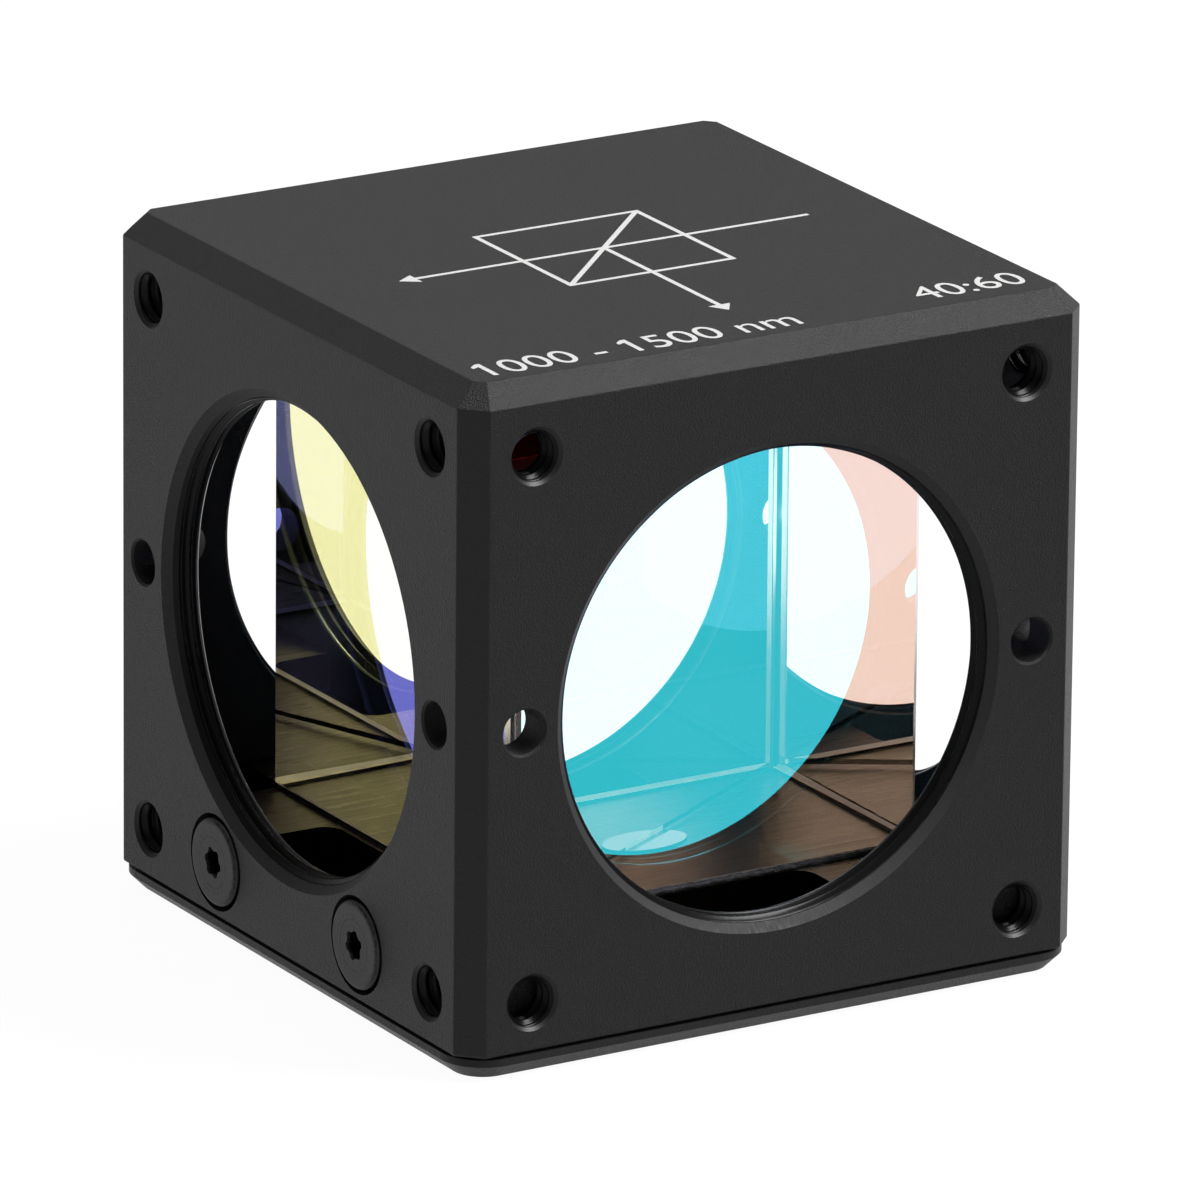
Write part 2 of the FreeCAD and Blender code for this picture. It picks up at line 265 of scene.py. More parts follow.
def milled_base(name):
    """Black anodised base: bright-cut metal, with fine milling lines along X on the platform's top."""
    t = Tree(name)
    _, _, z, place = t.place()
    lines = t.noise(t.scaled(place, 0.015, 1.0, 1.0), 0.23 * MM, detail=4.0, roughness=0.7)
    on_top = t.math("GREATER_THAN", z, PLATFORM_Z - HAIR)
    blast = t.noise(place, 0.11 * MM, detail=3.0, roughness=0.6)
    height = t.mix_value(on_top, blast, lines)
    tone = t.math("MULTIPLY", t.ranged(height, 0.32, 0.68, 0.1, 1.9), t.ranged(on_top, 0.0, 1.0, 0.05, 1.0))
    colour = t.mix_colour(tone, BLACK, (0.066, 0.058, 0.046))
    rough = t.mix_value(on_top, 0.5, t.ranged(lines, 0.3, 0.7, 0.38, 0.24))
    surface = t.shader("ShaderNodeBsdfPrincipled", Base_Color=colour, Metallic=1.0, Roughness=rough,
                       Specular_Tint=(1.0, 0.91, 0.80), Normal=t.bump(height, 0.03 * MM))
    return t.done(surface)


def thread_metal(name, grey, specular, rough):
    """Anodised metal as the tool left it: smooth along the turns, with faint chatter."""
    t = Tree(name)
    place = t.point()
    chatter = t.noise(place, 0.25 * MM, detail=3.0)
    tone = t.ranged(chatter, 0.3, 0.7, 0.8, 1.25)
    colour = t.mix_colour(tone, BLACK, (grey, grey, grey * 1.04))
    surface = t.shader("ShaderNodeBsdfPrincipled", Base_Color=colour, Roughness=rough, IOR=1.5,
                       Specular_IOR_Level=specular, Normal=t.bump(chatter, 0.004 * MM))
    return t.done(surface)


def turned_screw(name):
    """Black-oxide steel with fine turning rings round each screw's axis, and painted shade on all that lies
    within the wall's face, the socket among it.
    """
    t = Tree(name)
    x, y, z, place = t.place()
    across = t.math("SUBTRACT", t.math("ABSOLUTE", y), SCREW_Y)
    rise = t.math("SUBTRACT", z, SCREW_Z)
    from_axis = t.vector(length_of(t, across, rise), 0.0, 0.0)
    rings = t.noise(from_axis, 0.22 * MM, detail=4.0, roughness=0.75)
    fine = t.noise(place, 0.15 * MM, detail=3.0)
    tone = t.math("ADD", t.ranged(rings, 0.4, 0.6, 0.3, 1.7), t.ranged(fine, 0.3, 0.7, -0.5, 0.5))
    # painted shade: what lies within the wall's face, the socket's floor among it, is darkened to a
    # twentieth
    proud = t.math("GREATER_THAN", t.math("ABSOLUTE", x), HALF)
    tone = t.math("MULTIPLY", tone, t.ranged(proud, 0.0, 1.0, 0.05, 1.0))
    colour = t.mix_colour(tone, BLACK, (0.026, 0.0245, 0.024))
    surface = t.shader("ShaderNodeBsdfPrincipled", Base_Color=colour, Roughness=0.45, IOR=1.5,
                       Specular_IOR_Level=0.16, Normal=t.bump(t.math("ADD", rings, fine), 0.012 * MM))
    return t.done(surface)


def engraved(name):
    """Laser-marked metal: matt and nearly white, with a trace of the beam's passes."""
    t = Tree(name)
    fine = t.noise(t.point(), 0.08 * MM, detail=3.0)
    colour = t.ramp(fine, [(0.3, (0.246, 0.246, 0.243)), (0.7, (0.344, 0.344, 0.340))])
    surface = t.shader("ShaderNodeBsdfPrincipled", Base_Color=colour, Roughness=0.7,
                       Normal=t.bump(fine, 0.004 * MM))
    return t.done(surface)


GLASS_INDEX = 1.52
# What the outer coating reflects and lets through, by 1 - cos of the angle outside the glass.
REFLECTED = [
    (0.0, (0.05, 0.36, 0.30)), (0.12, (0.03, 0.44, 0.46)), (0.185, (0.03, 0.48, 0.55)),
    (0.33, (0.05, 0.30, 0.60)), (0.512, (0.125, 0.137, 0.54)), (0.75, (0.40, 0.30, 0.55)),
    (1.0, WHITE),
]
PASSED = [
    (0.0, (0.94, 0.82, 0.83)), (0.12, (0.93, 0.79, 0.76)), (0.185, (0.925, 0.775, 0.715)),
    (0.33, (0.93, 0.85, 0.68)), (0.512, (0.935, 0.92, 0.65)), (0.75, (0.60, 0.70, 0.45)),
    (1.0, BLACK),
]
# What the same coating mirrors back to a ray inside the glass; all of it past the critical angle.
MIRRORED_BACK = [
    (0.0, (0.03, 0.10, 0.13)), (0.12, (0.035, 0.11, 0.18)), (0.185, (0.04, 0.12, 0.22)),
    (0.33, (0.05, 0.12, 0.30)), (0.512, (0.067, 0.083, 0.41)), (0.75, (0.40, 0.30, 0.55)),
    (1.0, WHITE),
]


def outside_facing(t, inside):
    """1 - cos of the ray's angle outside the glass, from either side; past total reflection it is 1."""
    weight = t.add("ShaderNodeLayerWeight")
    weight.inputs["Blend"].default_value = 0.5
    cosine = t.math("SUBTRACT", 1.0, weight.outputs["Facing"])
    sine_squared = t.math("SUBTRACT", 1.0, t.math("MULTIPLY", cosine, cosine))
    bent = t.math("MULTIPLY", sine_squared, t.math("MULTIPLY_ADD", inside, GLASS_INDEX ** 2 - 1.0, 1.0))
    outer = t.math("SQRT", t.math("MAXIMUM", t.math("SUBTRACT", 1.0, bent), 0.0))
    return t.math("SUBTRACT", 1.0, outer)


def coated_glass(name):
    """Outer face of the cube: a coating that mirrors cyan to violet and lets through salmon to yellow."""
    t = Tree(name)
    inside = t.add("ShaderNodeNewGeometry").outputs["Backfacing"]
    facing = outside_facing(t, inside)
    mirrored = t.mix_colour(inside, t.ramp(facing, REFLECTED), t.ramp(facing, MIRRORED_BACK))
    mirror = t.shader("ShaderNodeBsdfGlossy", Color=mirrored, Roughness=0.0)
    passed = t.ramp(facing, PASSED)
    through = t.shader("ShaderNodeBsdfRefraction", Color=passed, Roughness=0.0, IOR=GLASS_INDEX)
    return t.done(t.add_shader(mirror, through))


def bare_glass(name, rough, tone):
    """Fine-ground glass of the bevels."""
    t = Tree(name)
    surface = t.shader("ShaderNodeBsdfGlass", Color=(tone, tone, tone), Roughness=rough, IOR=GLASS_INDEX)
    return t.done(surface)


def clear(name):
    """Cemented or bedded glass face: what is behind it has the same index, so it can't be seen."""
    t = Tree(name)
    return t.done(t.shader("ShaderNodeBsdfTransparent", Color=WHITE))


def ground_rim(name):
    """The hand-ground bevels round the cube's foot and top: milky."""
    t = Tree(name)
    fine = t.noise(t.point(), 0.15 * MM, detail=3.0)
    colour = t.ramp(fine, [(0.3, (0.85, 0.83, 0.78)), (0.7, (1.0, 0.98, 0.94))])
    milky = t.shader("ShaderNodeBsdfDiffuse", Color=colour)
    glass_part = t.shader("ShaderNodeBsdfGlass", Color=WHITE, Roughness=0.8, IOR=GLASS_INDEX)
    return t.done(t.mix_shader(0.35, milky, glass_part))


def bedded_glass(name):
    """The cube's foot: bedded in clear adhesive, milky along its rim, and bare over the open post hole,
    where painted shade darkens it.
    """
    t = Tree(name)
    x, y, _, _ = t.place()
    over_hole = t.math("LESS_THAN", length_of(t, x, y), BED_HOLE_R)
    edge = t.math("MAXIMUM", t.math("ABSOLUTE", x), t.math("ABSOLUTE", y))
    width = t.ranged(t.math("SUBTRACT", x, y), -2 * GLASS_HALF, 2 * GLASS_HALF, 0.62 * MM, 0.12 * MM)
    at_rim = t.math("GREATER_THAN", t.math("ADD", edge, width), GLASS_HALF)
    clear_part = t.shader("ShaderNodeBsdfTransparent", Color=WHITE)
    # painted shade: the bare glass over the post hole is darkened, which dims the hole seen through it
    glass_part = t.shader("ShaderNodeBsdfGlass", Color=(0.42, 0.40, 0.39), Roughness=0.02, IOR=GLASS_INDEX)
    milky = t.shader("ShaderNodeBsdfDiffuse", Color=(1.0, 0.93, 0.76))
    return t.done(t.mix_shader(at_rim, t.mix_shader(over_hole, clear_part, glass_part), milky))


def split_coating(name, share):
    """The splitting coating: mirrors a small share and lets the rest through unbent."""
    t = Tree(name)
    mirror = t.shader("ShaderNodeBsdfGlossy", Color=WHITE, Roughness=0.0)
    through = t.shader("ShaderNodeBsdfTransparent", Color=WHITE)
    return t.done(t.mix_shader(share, through, mirror))


def ground_glass(name):
    """The cube's top and bottom faces, ground and not polished."""
    t = Tree(name)
    surface = t.shader("ShaderNodeBsdfGlass", Color=(0.93, 0.95, 0.94), Roughness=0.45, IOR=GLASS_INDEX)
    return t.done(surface)


def black_glue_with_painted_glints(name):
    """Black adhesive with bright specks painted into its colour as glints."""
    t = Tree(name)
    cells = t.noise(t.point(), 0.06 * MM, detail=2.0, roughness=0.7)
    # painted highlight: the brightest stop makes the specks, glints painted into the colour
    skin = [(0.55, (0.003, 0.003, 0.003)), (0.66, (0.05, 0.05, 0.05)), (0.74, (0.22, 0.22, 0.21))]
    colour = t.ramp(cells, skin)
    surface = t.shader("ShaderNodeBsdfPrincipled", Base_Color=colour, Roughness=0.4, IOR=1.45,
                       Specular_IOR_Level=0.2, Normal=t.bump(cells, 0.05 * MM))
    return t.done(surface)


def black_ink_and_red_glow(name):
    """Ink on the cube's top and upper edge, nearly black at the sides, with a painted red glow on the top
    in the dark above.
    """
    t = Tree(name)
    _, _, z, place = t.place()
    patch = t.noise(place, 1.5 * MM, detail=3.0)
    on_top = t.math("GREATER_THAN", z, GLASS_HIGH)
    # painted light: the top is given a bright red, a painted red glow, while the sides stay nearly black
    tone = t.math("MULTIPLY", t.ranged(patch, 0.3, 0.7, 0.8, 1.2), t.ranged(on_top, 0.0, 1.0, 0.05, 1.0))
    colour = t.mix_colour(tone, BLACK, (0.70, 0.010, 0.006))
    surface = t.shader("ShaderNodeBsdfPrincipled", Base_Color=colour, Roughness=0.7,
                       Specular_IOR_Level=0.03)
    return t.done(surface)


def cement_line(name):
    """Foot of the seam between the prisms: pale over the open hole, dark where the cube is bedded."""
    t = Tree(name)
    x, y, _, place = t.place()
    over_hole = t.math("LESS_THAN", length_of(t, x, y), BED_HOLE_R)
    fine = t.noise(place, 0.3 * MM, detail=3.0)
    tone = t.math("MULTIPLY", t.ranged(over_hole, 0.0, 1.0, 0.004, 0.8), t.ranged(fine, 0.3, 0.7, 0.7, 1.2))
    colour = t.mix_colour(tone, BLACK, (1.0, 1.0, 0.98))
    surface = t.shader("ShaderNodeBsdfPrincipled", Base_Color=colour, Roughness=0.6,
                       Specular_IOR_Level=0.05)
    return t.done(surface)


def dress(node, *materials):
    """Give a CAD node its materials; every face starts with the first."""
    mesh = nodes[node].data
    mesh.materials.clear()
    for material in materials:
        mesh.materials.append(material)


BODY = anodised("body_anodised", 0.0036, 0.18, 0.08 * MM)
EDGE = anodised("body_edge", 0.0040, 0.21, 0.068 * MM)
MACHINED = machined("body_machined")
MOUTH = thread_metal("rod_hole_mouth", 0.006, 0.2, 0.44)
THREAD = thread_metal("thread_anodised", 0.003, 0.07, 0.25)
# painted highlight: bright metal on the tail of each port thread, for the bright ring at the bore's inner
# edge
TAIL_HIGHLIGHT = thread_metal("thread_end_painted_highlight", 0.03, 0.45, 0.25)
BASE = milled_base("base_anodised")
SCREW = turned_screw("screw_black")
MARKING = engraved("marking_white")
COATED = coated_glass("coated_face")
BEVEL = bare_glass("glass_bevel", 0.25, 0.97)
RIM = ground_rim("glass_rim")
BEDDED = bedded_glass("bedded_foot")
CLEAR = clear("bedded_face")
SPLIT = split_coating("split_coating", 0.12)
GROUND = ground_glass("ground_face")
CEMENT = bare_glass("cement_edge", 0.12, 0.95)
GLUE_GLINTS_AND_SHADE = black_glue_with_painted_glints("adhesive_black_with_painted_glints")
INK_AND_RED_GLOW = black_ink_and_red_glow("ink_black_and_painted_red_glow")
SEAM = cement_line("cement_seam")


HOUSING = (BODY, MACHINED, EDGE, MOUTH)


def housing_finish(face):
    """Which of the housing's materials a face has; its edges and the mouths of its holes differ."""
    spot = face.center
    depth = max(abs(spot.x), abs(spot.y))
    across = min(abs(spot.x), abs(spot.y))
    rise = abs(spot.z - AXIS_Z)
    if CAVITY_HALF < depth < HALF - SKIN:
        if math.hypot(across, rise) < PORT_MOUTH_R + HAIR:
            return HOUSING.index(MACHINED)
        if math.hypot(across - ROD_OFFSET, rise - ROD_OFFSET) < ROD_R + ROD_MOUTH_WIDTH:
            return HOUSING.index(MOUTH)
    second_place = sorted((abs(spot.x), abs(spot.y), spot.z - TOP_Z + HALF))[1]
    second_slope = sorted(abs(part) for part in face.normal)[1]
    at_edge = second_place > HALF - EDGE_WIDTH and second_slope > EDGE_SLOPE
    return HOUSING.index(EDGE if at_edge else BODY)


dress("cube_body", *HOUSING)
for face in nodes["cube_body"].data.polygons:
    face.material_index = housing_finish(face)
dress("base_plate", BASE, BODY)
for face in nodes["base_plate"].data.polygons:
    face.material_index = 1 if face.center.z < SEAT_Z + HAIR else 0
dress("beam_diagram", MARKING)
for i in range(1, 5):
    dress(f"base_screw_{i}", SCREW)


# ---- added pieces ----
QUARTERS = ("front", "right", "back", "left")    # side faces, a quarter turn apart


def new_piece(name, mesh, slot, *replaced):
    """Link a mesh as a piece of the object, riding on its one body."""
    piece = bpy.data.objects.new(name, mesh)
    scene.collection.objects.link(piece)
    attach(piece, "root")
    if replaced:
        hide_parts(*replaced)
    return piece


def finished(bm, name, *materials):
    """The mesh of a closed form, with its faces turned outward and its materials."""
    bmesh.ops.recalc_face_normals(bm, faces=bm.faces)
    mesh = bpy.data.meshes.new(name)
    bm.to_mesh(mesh)
    bm.free()
    for material in materials:
        mesh.materials.append(material)
    return mesh


def prism_glass(node, inward, long_face):
    """The prism as packed, each face with the material of its finish.

    inward is 1 where the long face looks towards +X and -Y, and -1 where it looks the other way. The
    splitting coating, long_face, is on one prism only.
    """
    mesh = nodes[node].data.copy()
    mesh.materials.clear()
    finishes = (COATED, BEVEL, long_face, BEDDED, GROUND, RIM)
    for material in finishes:
        mesh.materials.append(material)
    for face in mesh.polygons:
        n = face.normal
        if n.z < -0.99:
            finish = BEDDED
        elif n.z > 0.99:
            finish = GROUND
        elif max(abs(n.x), abs(n.y)) > 0.99:
            finish = COATED
        elif (n.x - n.y) * inward > 1.41:
            finish = long_face
        else:
            finish = RIM if abs(n.z) > 0.1 else BEVEL
        face.material_index = finishes.index(finish)
        face.use_smooth = False
    return new_piece(node + "_glass", mesh, "glass", node)


prism_glass("prism_front", -1, SPLIT)
prism_glass("prism_back", 1, CLEAR)


def cement_film():
    """The cement between the prisms, a trace smaller than its gap so that no two faces coincide."""
    shrink, thin = 0.9995, 0.8
    mesh = nodes["splitter_layer"].data.copy()
    mesh.materials.clear()
    mesh.materials.append(CLEAR)
    mesh.materials.append(CEMENT)
    middle = (GLASS_LOW + GLASS_HIGH) / 2
    for vertex in mesh.vertices:
        x, y, z = vertex.co
        along = (x + y) / 2 * shrink
        across = (y - x) / 2 * thin
        vertex.co = (along - across, along + across, middle + (z - middle) * shrink)
    for face in mesh.polygons:
        n = face.normal
        flat = abs(n.x + n.y) < 0.02 and abs(n.z) < 0.02
        face.material_index = 0 if flat else 1
        face.use_smooth = False
    return new_piece("cement_film", mesh, "coating", "splitter_layer")


cement_film()


def ragged(turn, seed):
    """Repeatable wobble from -1 to 1 along an edge; turn counts millimetres."""
    total = 0.0
    for k, (step, share) in enumerate(((3.1, 0.35), (1.3, 0.3), (0.52, 0.2), (0.21, 0.15))):
        total += share * math.sin(2 * math.pi * turn / step + 1.7 * seed + 2.3 * k)
    return total


def square_outline(half, step):
    """Points round a square, with the outward direction and the distance run, from corner to corner."""
    count = round(2 * half / step)
    points = []
    for quarter in range(4):
        turn = Matrix.Rotation(math.pi / 2 * quarter, 3, "Z")
        for i in range(count):
            run = -half + 2 * half * i / count
            points.append((turn @ Vector((run, -half, 0.0)), turn @ Vector((0.0, -1.0, 0.0)), run, quarter))
    return points


def adhesive_bed():
    """Clear adhesive under the glass: see-through on its flats, dark and uneven at its edges."""
    low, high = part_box("adhesive_layer")
    clearance = 0.004 * MM
    heights = (low[2] + clearance, high[2] - clearance)
    count = 96
    rims = []
    for i in range(count):
        angle = 2 * math.pi * (i + 0.5) / count
        away = Vector((math.cos(angle), math.sin(angle), 0.0))
        edge = high[0] / max(abs(away.x), abs(away.y))
        wobble = ragged(angle * high[0] / MM, 1)
        inner = BED_HOLE_R + 0.02 * MM * (1 + wobble)
        outer = edge - (0.10 + 0.09 * wobble) * MM
        rims.append((away * inner, away * outer))
    bm = bmesh.new()
    corners = [[bm.verts.new((p.x, p.y, z)) for z in heights for p in pair] for pair in rims]
    for i, (a, b, c, d) in enumerate(corners):
        a2, b2, c2, d2 = corners[(i + 1) % count]
        for quad in ((a, b, b2, a2), (c, c2, d2, d), (b, d, d2, b2), (a, a2, c2, c)):
            bm.faces.new(quad)
    mesh = finished(bm, "adhesive_bed", CLEAR, GLUE_GLINTS_AND_SHADE)
    for face in mesh.polygons:
        face.material_index = 0 if abs(face.normal.z) > 0.9 else 1
    return new_piece("adhesive_bed", mesh, "adhesive", "adhesive_layer")


def adhesive_bead():
    """Black adhesive squeezed out round the glass's foot: a ragged band on the -Y side, a trace elsewhere.

    The lengths reach, tall, way and rise are in millimetres, from a square that lies within the foot.
    """
    floor_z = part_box("adhesive_layer")[0][2]
    root = GLASS_HALF - 0.55 * MM
    bm = bmesh.new()
    rings = []
    for point, out, run, quarter in square_outline(root, 0.12 * MM):
        along = run / MM
        to_end = min(1.0, (root - abs(run)) / (0.8 * MM))
        plenty = 0.30 * to_end if quarter == 0 else 0.0
        reach = 0.58 + plenty + (0.03 + 0.25 * plenty) * ragged(along * 1.7, quarter + 3)
        tall = 0.10 + 0.45 * plenty + (0.02 + 0.12 * plenty) * ragged(along * 2.1, quarter + 5)
        profile = ((0.36, 0.012), (0.36, 0.02), (0.55, tall), ((0.55 + reach) / 2, tall), (reach, 0.012))
        ring = []
        for way, rise in profile:
            spot = point + out * way * MM
            ring.append(bm.verts.new((spot.x, spot.y, floor_z + rise * MM)))
        rings.append(ring)
    for i, ring in enumerate(rings):
        after = rings[(i + 1) % len(rings)]
        for j in range(len(ring)):
            k = (j + 1) % len(ring)
            bm.faces.new((ring[j], after[j], after[k], ring[k]))
    mesh = finished(bm, "adhesive_bead", GLUE_GLINTS_AND_SHADE)
    for face in mesh.polygons:
        face.use_smooth = True
    return new_piece("adhesive_bead", mesh, "adhesive")


def solid_from(name, rings, material, slot):
    """Closed solid skinned between rings of points, capped at both ends."""
    bm = bmesh.new()
    loops = [[bm.verts.new(point) for point in ring] for ring in rings]
    for near, far in zip(loops, loops[1:]):
        for i in range(len(near)):
            j = (i + 1) % len(near)
            bm.faces.new((near[i], near[j], far[j], far[i]))
    bm.faces.new(loops[0])
    bm.faces.new(loops[-1][::-1])
    return new_piece(name, finished(bm, name, material), slot)


def square_ring(half, z):
    return [(-half, -half, z), (half, -half, z), (half, half, z), (-half, half, z)]


def ink_cap_and_red_glow():
    """A skin of ink over the glass's top and a little way down its sides, with a painted red glow on the
    top.
    """
    skin, gap, drop = 0.02 * MM, 0.003 * MM, 0.95 * MM
    foot = GLASS_HIGH - drop
    outer, inner = GLASS_HALF + skin, GLASS_HALF + gap
    rings = [square_ring(outer, GLASS_HIGH + skin), square_ring(outer, foot),
             square_ring(inner, foot), square_ring(inner, GLASS_HIGH + gap)]
    return solid_from("ink_cap_and_red_glow", rings, INK_AND_RED_GLOW, "glass")


def foot_seam():
    """The dark foot of the seam between the prisms: a low fin, taller towards the far corner."""
    reach = GLASS_HALF - 0.6 * MM
    half = 0.005 * MM
    low = GLASS_LOW + HAIR
    count = 120
    rings = []
    for i in range(count + 1):
        along = -reach + 2 * reach * i / count
        tall = (0.23 + 0.12 * along / reach + 0.025 * ragged(along / MM, 9)) * MM
        a, b = (along - half, along + half), (along + half, along - half)
        rings.append([(*a, low), (*b, low), (*b, low + tall), (*a, low + tall)])
    return solid_from("foot_seam", rings, SEAM, "coating")


def rod_hole_shade_sheets():
    """Black sheets over the inner mouths of the lower rod holes: painted shade, which lets in no light."""
    near, far = CAVITY_HALF - 0.15 * MM, CAVITY_HALF - 0.02 * MM
    reach = ROD_R + 0.2 * MM
    low, high = AXIS_Z - ROD_OFFSET - reach, AXIS_Z - ROD_OFFSET + reach
    for quarter in range(4):
        turn = Matrix.Rotation(math.pi / 2 * quarter, 3, "Z")
        for side, word in ((-1, "left"), (1, "right")):
            rings = []
            for run in (ROD_OFFSET - reach, ROD_OFFSET + reach):
                corners = ((near, low), (far, low), (far, high), (near, high))
                rings.append([turn @ Vector((side * run, y, z)) for y, z in corners])
            # painted shade: a black sheet over each inner mouth, made of the black adhesive's material
            solid_from(f"rod_shade_sheet_{QUARTERS[quarter]}_{word}", rings, GLUE_GLINTS_AND_SHADE, "adhesive")


adhesive_bed()
adhesive_bead()
ink_cap_and_red_glow()
foot_seam()
rod_hole_shade_sheets()


def thread_liner(name, root_r, crest_r, pitch, start, end, mouth_r, tail_r, segments, material, slot):
    """Closed sleeve whose bore carries a thread, its axis along -Z from the surface at z = 0.

    The thread runs between depths start and end; mouth_r and tail_r are the radii of the 45 degree
    chamfers that cut it where they meet depth 0 and depth end. The ridge takes up flank of the pitch.
    A chamfered tail carries a painted highlight: brighter metal over its last fifth of a millimetre.
    """
    flank = 0.86
    wall, highlight_end = 0.03 * MM, 0.2 * MM
    back_r = root_r + wall
    steps = max(8, round((end - start) / pitch * 12))
    bm = bmesh.new()
    rings = []
    for i in range(segments):
        turn = i / segments
        angle = 2 * math.pi * turn
        ring = []
        for j in range(steps + 1):
            depth = start + (end - start) * j / steps
            phase = (depth / pitch - turn) % 1.0
            ridge = max(0.0, 1.0 - abs(phase - 0.5) * 2.0 / flank)
            ridge = min(ridge, flank) / flank
            radius = root_r - (root_r - crest_r) * ridge
            radius = max(radius, mouth_r - depth, tail_r - (end - depth))
            ring.append(bm.verts.new((radius * math.cos(angle), radius * math.sin(angle), -depth)))
        for depth in (end, start):
            ring.append(bm.verts.new((back_r * math.cos(angle), back_r * math.sin(angle), -depth)))
        rings.append(ring)
    for i, ring in enumerate(rings):
        after = rings[(i + 1) % segments]
        for j in range(len(ring)):
            k = (j + 1) % len(ring)
            bm.faces.new((ring[j], after[j], after[k], ring[k]))
    mesh = finished(bm, name, material, TAIL_HIGHLIGHT)
    for face in mesh.polygons:
        face.use_smooth = True
        # painted highlight on the faces of the tail's last fifth of a millimetre
        face.material_index = 1 if tail_r < root_r and face.center.z < highlight_end - end else 0
    return new_piece(name, mesh, slot)


def into_side(quarter, across, height):
    """Matrix that sets a shape made along Z into a side face, as the CAD part does."""
    return (
        Matrix.Rotation(math.pi / 2 * quarter, 4, "Z")
        @ Matrix.Translation((across, -HALF, height))
        @ Matrix.Rotation(math.pi / 2, 4, "X")
    )


PITCH = 0.635 * MM                               # 40 turns to the inch, ports and rod holes alike
PORT_CREST_R = PORT_R - 0.345 * MM
PORT_TAIL_R = PORT_R - 0.09 * MM
ROD_CREST_R = ROD_R - 0.27 * MM
for quarter, face in enumerate(QUARTERS):
    liner = thread_liner(f"port_thread_{face}", PORT_R, PORT_CREST_R, PITCH, SIDE_WALL - PORT_THREAD_LENGTH,
                         SIDE_WALL, PORT_MOUTH_R, PORT_TAIL_R, 200, THREAD, "body_anodised")
    liner.data.transform(into_side(quarter, 0.0, AXIS_Z))
    count = 0
    for side in (-1, 1):
        for rise in (-1, 1):
            count += 1
            rod = thread_liner(f"rod_thread_{face}_{count}", ROD_R, ROD_CREST_R, PITCH, ROD_SINK,
                               SIDE_WALL, ROD_R + ROD_SINK, ROD_R, 40, THREAD, "body_anodised")
            rod.data.transform(into_side(quarter, side * ROD_OFFSET, AXIS_Z + rise * ROD_OFFSET))

# the post hole's thread, cut up through the base
POST_PITCH = 0.794 * MM                          # 32 turns to the inch
POST_CREST_R = POST_R - 0.42 * MM
post_thread = thread_liner("post_thread", POST_R, POST_CREST_R, POST_PITCH, POST_SINK,
                           PLATFORM_Z - POST_SINK, POST_R + POST_SINK, POST_R, 48, THREAD, "base_anodised")
post_thread.data.transform(Matrix.Rotation(math.pi, 4, "X"))


# ---- figures on the top ----
FIGURE_RISE = 0.01 * MM                          # half the thickness of the marking's film


def text_mesh(text, size):
    """Mesh of one line of figures in the built-in face, its left end at the origin."""
    curve = bpy.data.curves.new(text, "FONT")
    curve.body = text
    curve.size = size
    curve.extrude = FIGURE_RISE
    curve.resolution_u = 6
    holder = bpy.data.objects.new(text, curve)
    scene.collection.objects.link(holder)
    bpy.context.view_layer.update()
    mesh = bpy.data.meshes.new_from_object(holder.evaluated_get(bpy.context.evaluated_depsgraph_get()))
    bpy.data.objects.remove(holder)
    return mesh


def span(text, size, axis):
    """Lowest and highest coordinate of a line of figures."""
    mesh = text_mesh(text, size)
    values = [vertex.co[axis] for vertex in mesh.vertices]
    bpy.data.meshes.remove(mesh)
    return min(values), max(values)


def figures(name, text, size, left, base):
    """Flat figures engraved in the top face, read from the -Y side; each 1 gets a flag at its top."""
    bm = bmesh.new()
    line = text_mesh(text, size)
    bm.from_mesh(line)
    bpy.data.meshes.remove(line)
    one_left, one_right = span("1", size, 0)
    top = span("1", size, 1)[1]
    # the flag's corners, in shares of the figures' size, from the stem's top left
    flag = ((0.0, 0.0), (0.0, -0.15), (-0.13, -0.20), (-0.13, -0.11))
    for index, figure in enumerate(text):
        if figure != "1":
            continue
        stem = span(text[:index + 1], size, 0)[1] - (one_right - one_left)
        outline = [(stem + size * x, top + size * y) for x, y in flag]
        lower = [bm.verts.new((x, y, -FIGURE_RISE)) for x, y in outline]
        upper = [bm.verts.new((x, y, FIGURE_RISE)) for x, y in outline]
        bm.faces.new(upper[::-1])
        bm.faces.new(lower)
        for i in range(4):
            j = (i + 1) % 4
            bm.faces.new((lower[j], lower[i], upper[i], upper[j]))
    mesh = bpy.data.meshes.new(name)
    bm.to_mesh(mesh)
    bm.free()
    mesh.transform(Matrix.Translation((left, base, TOP_Z)))
    mesh.materials.clear()
    mesh.materials.append(MARKING)
    return new_piece(name, mesh, "marking")


FIGURE_SIZE = 3.05 * MM
figures("figures_range", "1000 - 1500 nm", FIGURE_SIZE, -17.0 * MM, -17.0 * MM)
figures("figures_ratio", "40:60", FIGURE_SIZE, 10.1 * MM, -16.5 * MM)


# ---- stage ----
SKY_LEVEL = 0.34                                 # overhead, where the horizon is 1
FLOOR_HALF = 3.0
FLOOR_GAP = 0.02 * MM                            # below the part's underside
FLOOR_GLOW = 0.96                                # share of plain white in what the camera sees of it


def floor_material():
    """Pale floor: white to the camera and in reflections, still darkened by the object's shadow."""
    t = Tree("floor_pale")
    path = t.add("ShaderNodeLightPath").outputs
    indirect = t.math("MAXIMUM", path["Is Glossy Ray"], path["Is Transmission Ray"])
    seen = t.math("MAXIMUM", path["Is Camera Ray"], indirect)
    paint = t.shader("ShaderNodeBsdfDiffuse", Color=(0.8, 0.8, 0.8))
    white = t.shader("ShaderNodeEmission", Color=(1.0, 1.0, 1.0), Strength=1.0)
    return t.done(t.mix_shader(t.math("MULTIPLY", seen, FLOOR_GLOW), paint, white))


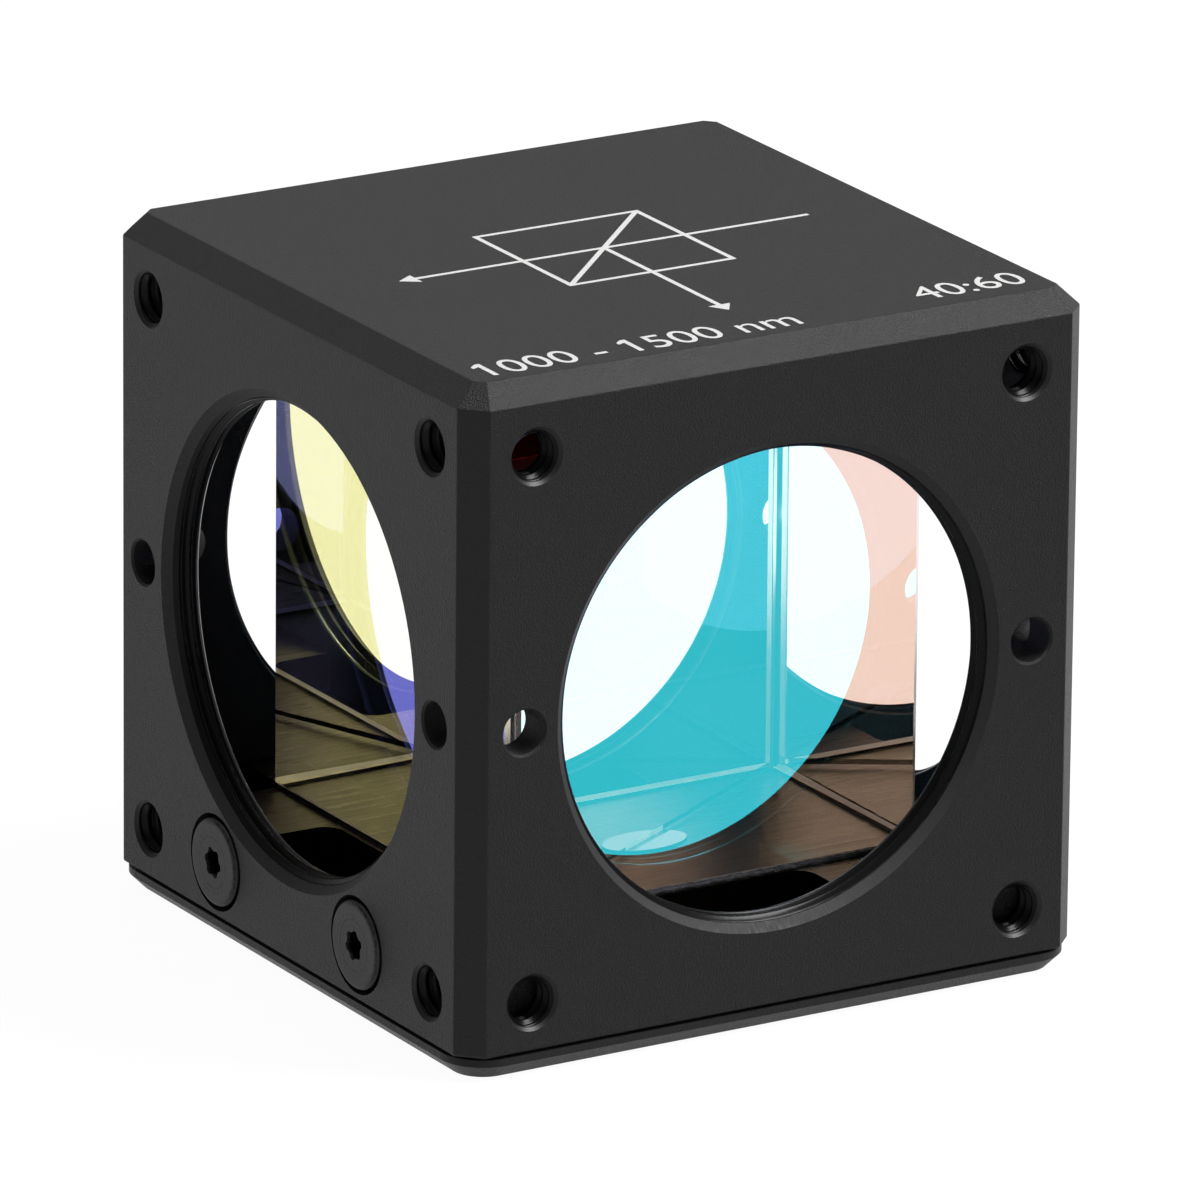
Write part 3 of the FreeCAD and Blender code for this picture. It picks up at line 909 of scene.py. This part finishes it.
def make_floor():
    mesh = bpy.data.meshes.new("floor")
    mesh.from_pydata(square_ring(FLOOR_HALF, 0.0), [], [(0, 1, 2, 3)])
    mesh.materials.append(floor_material())
    floor = bpy.data.objects.new("floor", mesh)
    floor.location.z = -FLOOR_GAP
    scene.collection.objects.link(floor)


def make_world():
    """Soft surround: bright from the horizon down, dimmer above, white to the camera and through glass."""
    world = bpy.data.worlds.new("surround")
    scene.world = world
    world.use_nodes = True
    tree = world.node_tree
    tree.nodes.clear()
    output = tree.nodes.new("ShaderNodeOutputWorld")
    background = tree.nodes.new("ShaderNodeBackground")
    path = tree.nodes.new("ShaderNodeLightPath")
    direction = tree.nodes.new("ShaderNodeTexCoord")
    split = tree.nodes.new("ShaderNodeSeparateXYZ")
    fall = tree.nodes.new("ShaderNodeMapRange")
    pick = tree.nodes.new("ShaderNodeMix")
    pick.data_type = "FLOAT"
    brightest = tree.nodes.new("ShaderNodeMath")
    brightest.operation = "MAXIMUM"
    tree.links.new(path.outputs["Is Camera Ray"], brightest.inputs[0])
    tree.links.new(path.outputs["Is Transmission Ray"], brightest.inputs[1])
    tree.links.new(brightest.outputs[0], pick.inputs[0])
    tree.links.new(direction.outputs["Generated"], split.inputs[0])
    tree.links.new(split.outputs["Z"], fall.inputs["Value"])
    fall.interpolation_type = "SMOOTHSTEP"
    for name, value in (("From Min", 0.02), ("From Max", 0.42), ("To Min", 1.0), ("To Max", SKY_LEVEL)):
        fall.inputs[name].default_value = value
    tree.links.new(fall.outputs["Result"], pick.inputs[2])
    pick.inputs[3].default_value = 1.0
    tree.links.new(pick.outputs[0], background.inputs["Strength"])
    tree.links.new(background.outputs[0], output.inputs["Surface"])


def softbox(name, place, aim, width, height, power):
    """Rectangular soft lamp that faces aim."""
    light = bpy.data.lights.new(name, "AREA")
    light.shape = "RECTANGLE"
    light.size = width
    light.size_y = height
    light.energy = power
    lamp = bpy.data.objects.new(name, light)
    scene.collection.objects.link(lamp)
    lamp.location = place
    lamp.rotation_mode = "QUATERNION"
    lamp.rotation_quaternion = (Vector(aim) - Vector(place)).to_track_quat("-Z", "Y")
    return lamp


make_floor()
make_world()
CENTRE = Vector((0.0, 0.0, AXIS_Z))
softbox("overhead", (0.39, -0.25, 0.67), CENTRE, 0.38, 0.38, 16.5)
softbox("fill", (0.0, 0.1, 1.0), CENTRE, 0.8, 0.8, 4.5)


# ---- camera ----
def make_camera():
    azimuth = math.radians(-30.924)
    elevation = math.radians(18.183)
    roll = math.radians(0.542)
    distance = 0.7788
    back = Vector((math.sin(azimuth) * math.cos(elevation), -math.cos(azimuth) * math.cos(elevation),
                   math.sin(elevation)))
    level = Vector((math.cos(azimuth), math.sin(azimuth), 0.0))
    upright = back.cross(level)
    right = math.cos(roll) * level + math.sin(roll) * upright
    up = math.cos(roll) * upright - math.sin(roll) * level
    lens = bpy.data.cameras.new("camera")
    lens.sensor_width = 36.0
    lens.lens = 435.83
    lens.shift_x = 0.0041
    lens.shift_y = -0.0103
    lens.clip_start = 0.05
    lens.clip_end = 20.0
    camera = bpy.data.objects.new("camera", lens)
    scene.collection.objects.link(camera)
    turn = Matrix((right, up, back)).transposed()
    camera.matrix_world = Matrix.Translation(CENTRE + distance * back) @ turn.to_4x4()
    scene.camera = camera


make_camera()
scene.view_settings.view_transform = "Standard"
scene.cycles.transparent_max_bounces = 24
